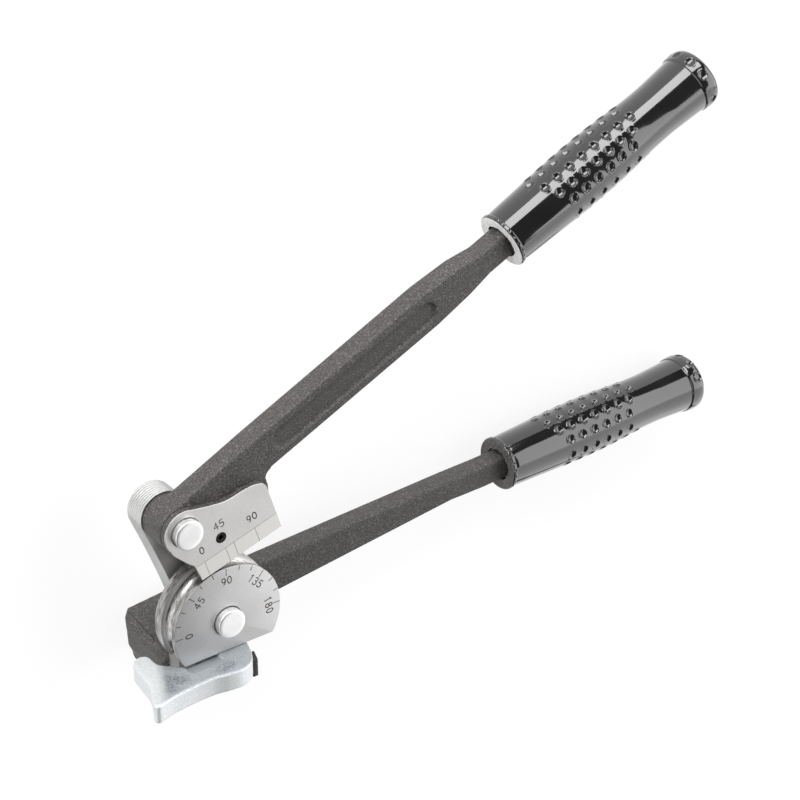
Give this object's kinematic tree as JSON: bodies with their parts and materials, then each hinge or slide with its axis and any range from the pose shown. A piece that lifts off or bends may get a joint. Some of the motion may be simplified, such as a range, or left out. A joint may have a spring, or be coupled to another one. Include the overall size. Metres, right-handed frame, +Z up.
{
  "type": "pipe bender",
  "caption": "Hand bender for small metal tube: a grooved, dial-marked form on one handle, and a shoe on a second handle carried by a laminated link, with a tube latch and black grips.",
  "frame": {"origin": "centre of the bounding box at its lowest level, with the tool lying on its back", "axes": "+X along the form handle toward its grip, +Y toward the form mark that is a quarter turn on, +Z up out of the marked faces of form and shoe"},
  "size_m": [0.314, 0.211, 0.0635],
  "materials": {
    "casting": "rough dark grey textured coat",
    "machined": "satin machined steel",
    "bright": "bright turned steel",
    "zinc": "pale zinc, slightly grainy",
    "vinyl": "glossy black vinyl",
    "black_steel": "blackened spring steel"
  },
  "bodies": {
    "form_handle": {"form_handle_casting": "casting", "bending_form": "machined", "form_pin": "bright", "form_pin_ring": "black_steel", "form_dowel_1": "bright", "form_dowel_2": "bright", "form_handle_grip": "vinyl", "latch_screw": "bright"},
    "link": {"link_plate_1": "machined", "link_plate_2": "machined", "link_plate_3": "machined", "link_plate_4": "machined", "link_plate_5": "machined", "link_plate_6": "machined", "link_plate_7": "machined", "link_plate_8": "machined"},
    "shoe_handle": {"shoe_handle_casting": "casting", "bending_shoe": "machined", "shoe_pin": "bright", "shoe_pin_ring": "black_steel", "shoe_spring_pin": "black_steel", "shoe_handle_grip": "vinyl"},
    "latch": {"latch": "zinc", "latch_detent_clip": "black_steel"}
  },
  "joints": [
    {"name": "link_swing", "type": "hinge", "parent": "form_handle", "child": "link", "pos_m": [-0.11503, -0.07161, 0.0482], "axis": [0, 0, 1], "range_deg": [-106, 73]},
    {"name": "shoe_handle_swing", "type": "hinge", "parent": "link", "child": "shoe_handle", "pos_m": [-0.13145, -0.0258, 0.0482], "axis": [0, 0, 1], "range_deg": [0, 120]},
    {"name": "latch_swing", "type": "hinge", "parent": "form_handle", "child": "latch", "pos_m": [-0.11303, -0.08492, 0.0437], "axis": [0, 1, 0], "range_deg": [0, 75]}
  ]
}
